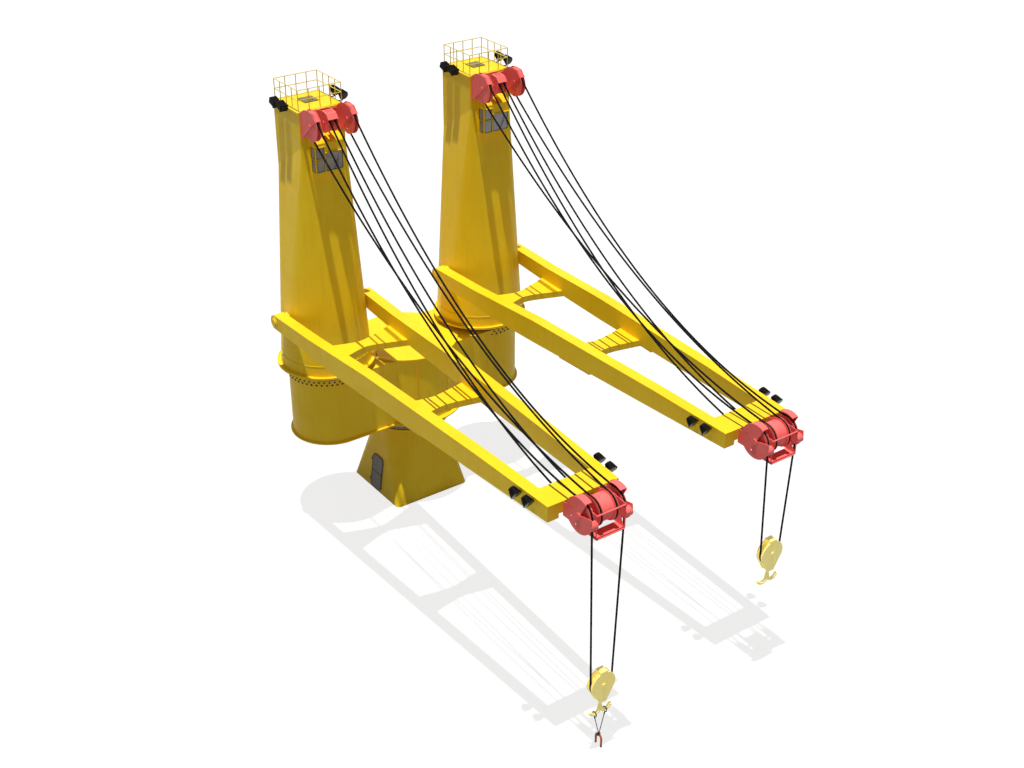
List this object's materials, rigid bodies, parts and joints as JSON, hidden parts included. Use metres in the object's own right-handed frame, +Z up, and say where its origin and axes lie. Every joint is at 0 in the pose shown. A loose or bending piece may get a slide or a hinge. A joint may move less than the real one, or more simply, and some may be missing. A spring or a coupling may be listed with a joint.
{
  "type": "marine crane",
  "caption": "Twin marine deck crane on one pedestal: towers that slew, luffing booms, cabs, rope sheaves, winch drums and swivelling double hooks.",
  "frame": {"origin": "centre of the pedestal's foot, on the deck", "axes": "+X along the stowed booms towards the hooks, +Y from the near crane to the far crane, +Z up"},
  "size_m": [27.4098, 16.02, 25],
  "materials": {
    "yellow_paint": "gloss",
    "red_paint": "gloss",
    "hook_paint": "gloss",
    "gear_steel": "machined",
    "drive_paint": "semi-gloss",
    "rope_steel": "greased wire rope",
    "lamp_black": "matt",
    "window_glass": "clear",
    "door_paint": "semi-gloss",
    "hatch_paint": "semi-gloss",
    "rail_paint": "gloss",
    "shackle_steel": "coppery"
  },
  "bodies": {
    "pedestal_body": {"pedestal": "yellow_paint", "platform_bearing": "gear_steel"},
    "door_body": {"pedestal_door": "door_paint"},
    "platform_body": {"platform": "yellow_paint", "platform_motor": "drive_paint", "near_slew_ring": "gear_steel", "far_slew_ring": "gear_steel"},
    "platform_pinion_body": {"platform_pinion": "gear_steel"},
    "near_tower_body": {"near_tower": "yellow_paint", "near_slew_motor": "drive_paint", "near_cab": "yellow_paint", "near_cab_windows": "window_glass", "near_railing": "rail_paint", "near_tower_lamps": "lamp_black", "near_mast_head": "red_paint", "near_foot_pins": "gear_steel"},
    "near_slew_pinion_body": {"near_slew_pinion": "gear_steel"},
    "near_hatch_body": {"near_hatch": "hatch_paint"},
    "near_mast_hoist_sheaves_body": {"near_mast_hoist_sheaves": "red_paint"},
    "near_mast_luff_sheaves_body": {"near_mast_luff_sheaves": "red_paint"},
    "near_hoist_drum_body": {"near_hoist_drum": "drive_paint"},
    "near_luff_drum_body": {"near_luff_drum": "drive_paint"},
    "near_boom_body": {"near_boom": "yellow_paint", "near_boom_head": "red_paint", "near_head_pin": "gear_steel", "near_boom_lamps": "lamp_black", "near_span_ropes": "rope_steel"},
    "near_hoist_sheaves_body": {"near_hoist_sheaves": "red_paint"},
    "near_luff_sheaves_body": {"near_luff_sheaves": "red_paint"},
    "near_falls_body": {"near_fall_ropes": "rope_steel"},
    "near_block_body": {"near_block": "hook_paint"},
    "near_block_sheave_body": {"near_block_sheave": "hook_paint"},
    "near_hook_body": {"near_hook": "hook_paint", "near_sling": "rope_steel", "near_shackle": "shackle_steel"},
    "far_tower_body": {"far_tower": "yellow_paint", "far_slew_motor": "drive_paint", "far_cab": "yellow_paint", "far_cab_windows": "window_glass", "far_railing": "rail_paint", "far_tower_lamps": "lamp_black", "far_mast_head": "red_paint", "far_foot_pins": "gear_steel"},
    "far_slew_pinion_body": {"far_slew_pinion": "gear_steel"},
    "far_hatch_body": {"far_hatch": "hatch_paint"},
    "far_mast_hoist_sheaves_body": {"far_mast_hoist_sheaves": "red_paint"},
    "far_mast_luff_sheaves_body": {"far_mast_luff_sheaves": "red_paint"},
    "far_hoist_drum_body": {"far_hoist_drum": "drive_paint"},
    "far_luff_drum_body": {"far_luff_drum": "drive_paint"},
    "far_boom_body": {"far_boom": "yellow_paint", "far_boom_head": "red_paint", "far_head_pin": "gear_steel", "far_boom_lamps": "lamp_black", "far_span_ropes": "rope_steel"},
    "far_hoist_sheaves_body": {"far_hoist_sheaves": "red_paint"},
    "far_luff_sheaves_body": {"far_luff_sheaves": "red_paint"},
    "far_falls_body": {"far_fall_ropes": "rope_steel"},
    "far_block_body": {"far_block": "hook_paint"},
    "far_block_sheave_body": {"far_block_sheave": "hook_paint"},
    "far_hook_body": {"far_hook": "hook_paint"}
  },
  "joints": [
    {"name": "door_hinge", "type": "hinge", "parent": "pedestal_body", "child": "door_body", "pos_m": [-0.61, -2.4395, 0.00706], "axis": [0, -0.1411, -0.99], "range_deg": [0, 100]},
    {"name": "platform_slew", "type": "hinge", "parent": "pedestal_body", "child": "platform_body", "pos_m": [0, 0, 5], "axis": [0, 0, 1], "continuous": true},
    {"name": "platform_pinion_turn", "type": "hinge", "parent": "platform_body", "child": "platform_pinion_body", "pos_m": [-1.44, 0, 5.2], "axis": [0, 0, 1], "continuous": true},
    {"name": "near_slew", "type": "hinge", "parent": "platform_body", "child": "near_tower_body", "pos_m": [0, -5.02, 7.7], "axis": [0, 0, -1], "range_deg": [0, 180]},
    {"name": "near_slew_pinion_turn", "type": "hinge", "parent": "near_tower_body", "child": "near_slew_pinion_body", "pos_m": [-1.44, -5.02, 7.7], "axis": [0, 0, -1], "continuous": true},
    {"name": "near_hatch_hinge", "type": "hinge", "parent": "near_tower_body", "child": "near_hatch_body", "pos_m": [-0.77, -4.92, 23.925], "axis": [0, -1, 0], "range_deg": [0, 100]},
    {"name": "near_luff", "type": "hinge", "parent": "near_tower_body", "child": "near_boom_body", "pos_m": [0, -5.02, 12.57], "axis": [0, -1, 0], "range_deg": [0, 60], "deforming": ["near_span_ropes"]},
    {"name": "near_falls_plumb", "type": "hinge", "parent": "near_boom_body", "child": "near_falls_body", "pos_m": [23.37, -5.02, 12.8], "axis": [0, -1, 0], "range_deg": [-61, 1]},
    {"name": "near_hoist", "type": "slide", "parent": "near_falls_body", "child": "near_block_body", "axis": [0, 0, 1], "range_m": [0, 6.5], "deforming": ["near_fall_ropes"]},
    {"name": "near_block_sheave_turn", "type": "hinge", "parent": "near_block_body", "child": "near_block_sheave_body", "pos_m": [23.9759, -5.02, 3.74], "axis": [1, 0, 0], "continuous": true},
    {"name": "near_hook_swivel", "type": "hinge", "parent": "near_block_body", "child": "near_hook_body", "pos_m": [23.9759, -5.02, 2.54], "axis": [0, 0, 1], "continuous": true},
    {"name": "near_hoist_sheaves_turn", "type": "hinge", "parent": "near_boom_body", "child": "near_hoist_sheaves_body", "pos_m": [23.37, -5.02, 12.8], "axis": [0, -1, 0], "continuous": true},
    {"name": "near_mast_hoist_sheaves_turn", "type": "hinge", "parent": "near_tower_body", "child": "near_mast_hoist_sheaves_body", "pos_m": [2.1, -5.02, 23.48], "axis": [0, -1, 0], "continuous": true},
    {"name": "near_hoist_drum_turn", "type": "hinge", "parent": "near_tower_body", "child": "near_hoist_drum_body", "pos_m": [0.6, -5.02, 10.5403], "axis": [0, -1, 0], "continuous": true},
    {"name": "near_luff_sheaves_turn", "type": "hinge", "parent": "near_boom_body", "child": "near_luff_sheaves_body", "pos_m": [23.37, -5.02, 12.8], "axis": [0, 1, 0], "continuous": true},
    {"name": "near_mast_luff_sheaves_turn", "type": "hinge", "parent": "near_tower_body", "child": "near_mast_luff_sheaves_body", "pos_m": [1.8, -5.02, 23.4], "axis": [0, -1, 0], "continuous": true},
    {"name": "near_luff_drum_turn", "type": "hinge", "parent": "near_tower_body", "child": "near_luff_drum_body", "pos_m": [-0.5, -5.02, 11.8403], "axis": [0, -1, 0], "continuous": true},
    {"name": "far_slew", "type": "hinge", "parent": "platform_body", "child": "far_tower_body", "pos_m": [0, 5.02, 7.7], "axis": [0, 0, 1], "range_deg": [0, 180]},
    {"name": "far_slew_pinion_turn", "type": "hinge", "parent": "far_tower_body", "child": "far_slew_pinion_body", "pos_m": [-1.44, 5.02, 7.7], "axis": [0, 0, 1], "continuous": true},
    {"name": "far_hatch_hinge", "type": "hinge", "parent": "far_tower_body", "child": "far_hatch_body", "pos_m": [-0.77, 5.12, 23.925], "axis": [0, -1, 0], "range_deg": [0, 100]},
    {"name": "far_luff", "type": "hinge", "parent": "far_tower_body", "child": "far_boom_body", "pos_m": [0, 5.02, 12.57], "axis": [0, -1, 0], "range_deg": [0, 60], "deforming": ["far_span_ropes"]},
    {"name": "far_falls_plumb", "type": "hinge", "parent": "far_boom_body", "child": "far_falls_body", "pos_m": [23.37, 5.02, 12.8], "axis": [0, -1, 0], "range_deg": [-61, 1]},
    {"name": "far_hoist", "type": "slide", "parent": "far_falls_body", "child": "far_block_body", "axis": [0, 0, 1], "range_m": [-3, 3.6], "deforming": ["far_fall_ropes"]},
    {"name": "far_block_sheave_turn", "type": "hinge", "parent": "far_block_body", "child": "far_block_sheave_body", "pos_m": [23.9759, 5.02, 6.65], "axis": [1, 0, 0], "continuous": true},
    {"name": "far_hook_swivel", "type": "hinge", "parent": "far_block_body", "child": "far_hook_body", "pos_m": [23.9759, 5.02, 5.45], "axis": [0, 0, 1], "continuous": true},
    {"name": "far_hoist_sheaves_turn", "type": "hinge", "parent": "far_boom_body", "child": "far_hoist_sheaves_body", "pos_m": [23.37, 5.02, 12.8], "axis": [0, -1, 0], "continuous": true},
    {"name": "far_mast_hoist_sheaves_turn", "type": "hinge", "parent": "far_tower_body", "child": "far_mast_hoist_sheaves_body", "pos_m": [2.1, 5.02, 23.48], "axis": [0, -1, 0], "continuous": true},
    {"name": "far_hoist_drum_turn", "type": "hinge", "parent": "far_tower_body", "child": "far_hoist_drum_body", "pos_m": [0.6, 5.02, 10.5403], "axis": [0, -1, 0], "continuous": true},
    {"name": "far_luff_sheaves_turn", "type": "hinge", "parent": "far_boom_body", "child": "far_luff_sheaves_body", "pos_m": [23.37, 5.02, 12.8], "axis": [0, 1, 0], "continuous": true},
    {"name": "far_mast_luff_sheaves_turn", "type": "hinge", "parent": "far_tower_body", "child": "far_mast_luff_sheaves_body", "pos_m": [1.8, 5.02, 23.4], "axis": [0, -1, 0], "continuous": true},
    {"name": "far_luff_drum_turn", "type": "hinge", "parent": "far_tower_body", "child": "far_luff_drum_body", "pos_m": [-0.5, 5.02, 11.8403], "axis": [0, -1, 0], "continuous": true}
  ],
  "couplings": [
    {"joint": "platform_pinion_turn", "follows": "platform_slew", "ratio": -6},
    {"joint": "near_slew_pinion_turn", "follows": "near_slew", "ratio": -6},
    {"joint": "near_falls_plumb", "follows": "near_luff", "ratio": -1},
    {"joint": "near_luff_sheaves_turn", "follows": "near_luff", "ratio": 15.2},
    {"joint": "near_mast_luff_sheaves_turn", "follows": "near_luff", "ratio": 50.5},
    {"joint": "near_luff_drum_turn", "follows": "near_luff", "ratio": 52.5},
    {"joint": "near_hoist_sheaves_turn", "follows": "near_hoist", "rad_per_m": 1.652},
    {"joint": "near_mast_hoist_sheaves_turn", "follows": "near_hoist", "rad_per_m": 2.019},
    {"joint": "near_hoist_drum_turn", "follows": "near_hoist", "rad_per_m": 2.222},
    {"joint": "far_slew_pinion_turn", "follows": "far_slew", "ratio": -6},
    {"joint": "far_falls_plumb", "follows": "far_luff", "ratio": -1},
    {"joint": "far_luff_sheaves_turn", "follows": "far_luff", "ratio": 15.2},
    {"joint": "far_mast_luff_sheaves_turn", "follows": "far_luff", "ratio": 50.5},
    {"joint": "far_luff_drum_turn", "follows": "far_luff", "ratio": 52.5},
    {"joint": "far_hoist_sheaves_turn", "follows": "far_hoist", "rad_per_m": 1.652},
    {"joint": "far_mast_hoist_sheaves_turn", "follows": "far_hoist", "rad_per_m": 2.019},
    {"joint": "far_hoist_drum_turn", "follows": "far_hoist", "rad_per_m": 2.222}
  ]
}
